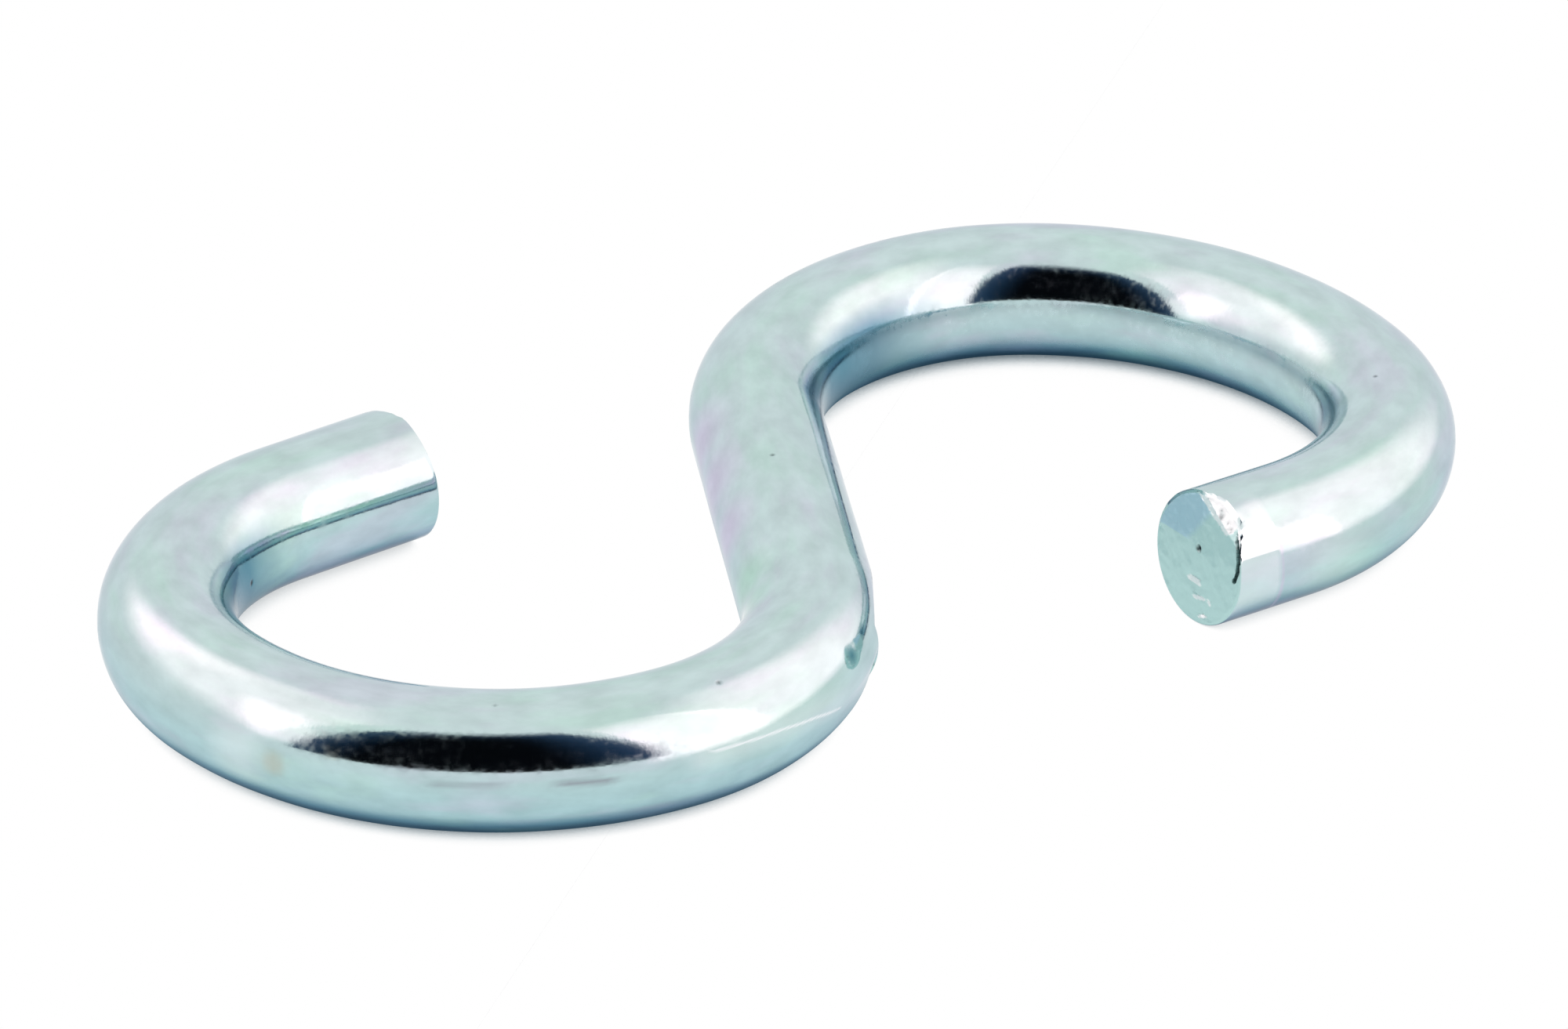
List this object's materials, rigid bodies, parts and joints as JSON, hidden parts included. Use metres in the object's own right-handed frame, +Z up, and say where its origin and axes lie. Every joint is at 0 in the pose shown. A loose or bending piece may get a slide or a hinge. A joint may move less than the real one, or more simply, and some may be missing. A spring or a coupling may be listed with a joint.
{
  "type": "s hook",
  "caption": "Open S-shaped hook bent from round zinc-plated steel wire, with rounded open eyes that face opposite ways, for hanging a load or joining chain and rope.",
  "frame": {"origin": "under the middle of the hook's box, on the surface that it lies flat on", "axes": "+X along the hook's length towards the upper eye, +Y across it, +Z up from the surface"},
  "size_m": [0.0512, 0.0296, 0.0049],
  "materials": {
    "zinc_plated_steel": "bright zinc plate with a clear blue passivate, satin, over drawn steel wire"
  },
  "bodies": {
    "root": {"s_hook": "zinc_plated_steel"}
  },
  "joints": []
}
